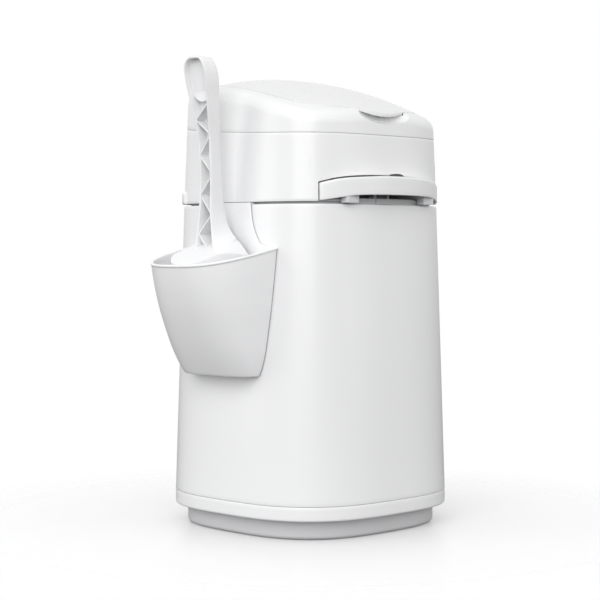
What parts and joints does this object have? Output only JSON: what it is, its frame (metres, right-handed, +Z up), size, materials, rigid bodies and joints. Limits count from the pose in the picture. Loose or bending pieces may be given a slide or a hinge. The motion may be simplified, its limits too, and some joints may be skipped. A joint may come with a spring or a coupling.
{
  "type": "litter disposal pail",
  "caption": "Free-standing pet litter disposal pail with a hinged head, domed lid, spring-closed film jaws worked by a pull handle, and a scoop in a side holder.",
  "frame": {"origin": "centre of the base on the floor", "axes": "+Z up, the pull handle faces -Y, the scoop holder is on the -X side"},
  "size_m": [0.2973, 0.2346, 0.4417],
  "materials": {
    "white_satin": "white moulded plastic, satin to gloss",
    "white_scoop": "white moulded plastic, soft satin",
    "light_plastic": "pale grey moulded plastic, satin",
    "grey_plastic": "mid grey moulded plastic, matt",
    "dark_plastic": "dark grey moulded plastic, satin",
    "rubber_grey": "soft grey sealing rubber",
    "steel": "bright steel",
    "film": "pleated thin plastic film, translucent blue-white"
  },
  "bodies": {
    "pail": {"base_pan": "white_satin", "base_ring": "white_satin", "pail_body": "white_satin", "rear_hinge_pins": "steel", "latch_strike": "steel", "film_cutter_body": "grey_plastic", "film_cutter_blade": "steel", "scoop_holder": "white_satin"},
    "head": {"head_ring": "white_satin", "head_cover": "white_satin", "lid_hinge_pin": "steel", "mechanism_tray": "grey_plastic", "latch_pin": "steel", "guide_deck": "light_plastic", "pinion_axles": "steel", "housing_screws": "steel", "return_spring_left": "steel", "return_spring_right": "steel", "cassette_well": "white_satin", "cassette_tray": "light_plastic", "film_pack": "film", "cassette_cap": "light_plastic"},
    "lid": {"lid_shell": "white_satin", "lid_gasket": "rubber_grey", "lid_liner": "light_plastic", "lid_latch_tab": "light_plastic"},
    "handle_slide": {"pull_handle": "white_satin", "jaw_slide": "light_plastic", "front_jaw_lip": "rubber_grey", "handle_screws": "steel"},
    "rear_jaw_slide": {"rear_jaw": "light_plastic", "rear_jaw_lip": "rubber_grey"},
    "pinion_right": {"pinion_right": "grey_plastic"},
    "pinion_left": {"pinion_left": "grey_plastic"},
    "latch": {"head_latch": "grey_plastic"},
    "button": {"release_button": "dark_plastic"},
    "scoop": {"scoop": "white_scoop"}
  },
  "joints": [
    {"name": "head_hinge", "type": "hinge", "parent": "pail", "child": "head", "pos_m": [0, 0.103, 0.312], "axis": [-1, 0, 0], "range_deg": [0, 80]},
    {"name": "lid_hinge", "type": "hinge", "parent": "head", "child": "lid", "pos_m": [0, 0.0834, 0.4278], "axis": [-1, 0, 0], "range_deg": [0, 95]},
    {"name": "handle_pull", "type": "slide", "parent": "head", "child": "handle_slide", "axis": [0, -1, 0], "range_m": [0, 0.04], "stiffness_N_per_m": 120, "springref_m": -0.02, "deforming": ["return_spring_left", "return_spring_right"]},
    {"name": "rear_jaw_travel", "type": "slide", "parent": "head", "child": "rear_jaw_slide", "axis": [0, 1, 0], "range_m": [0, 0.04]},
    {"name": "pinion_right_spin", "type": "hinge", "parent": "head", "child": "pinion_right", "pos_m": [0.072, -0.004, 0.3145], "axis": [0, 0, 1], "range_deg": [0, 230]},
    {"name": "pinion_left_spin", "type": "hinge", "parent": "head", "child": "pinion_left", "pos_m": [-0.072, -0.004, 0.3145], "axis": [0, 0, -1], "range_deg": [0, 230]},
    {"name": "button_press", "type": "slide", "parent": "handle_slide", "child": "button", "axis": [0, 0, -1], "range_m": [0, 0.002], "stiffness_N_per_m": 400, "springref_m": -0.001},
    {"name": "latch_turn", "type": "hinge", "parent": "head", "child": "latch", "pos_m": [0, -0.092, 0.316], "axis": [1, 0, 0], "range_deg": [0, 6]},
    {"name": "scoop_lift", "type": "slide", "parent": "pail", "child": "scoop", "axis": [0, 0, 1], "range_m": [0, 0.15]}
  ],
  "couplings": [
    {"joint": "rear_jaw_travel", "follows": "handle_pull", "ratio": 1},
    {"joint": "pinion_right_spin", "follows": "handle_pull", "rad_per_m": 100},
    {"joint": "pinion_left_spin", "follows": "handle_pull", "rad_per_m": 100},
    {"joint": "latch_turn", "follows": "button_press", "rad_per_m": 45.5}
  ]
}
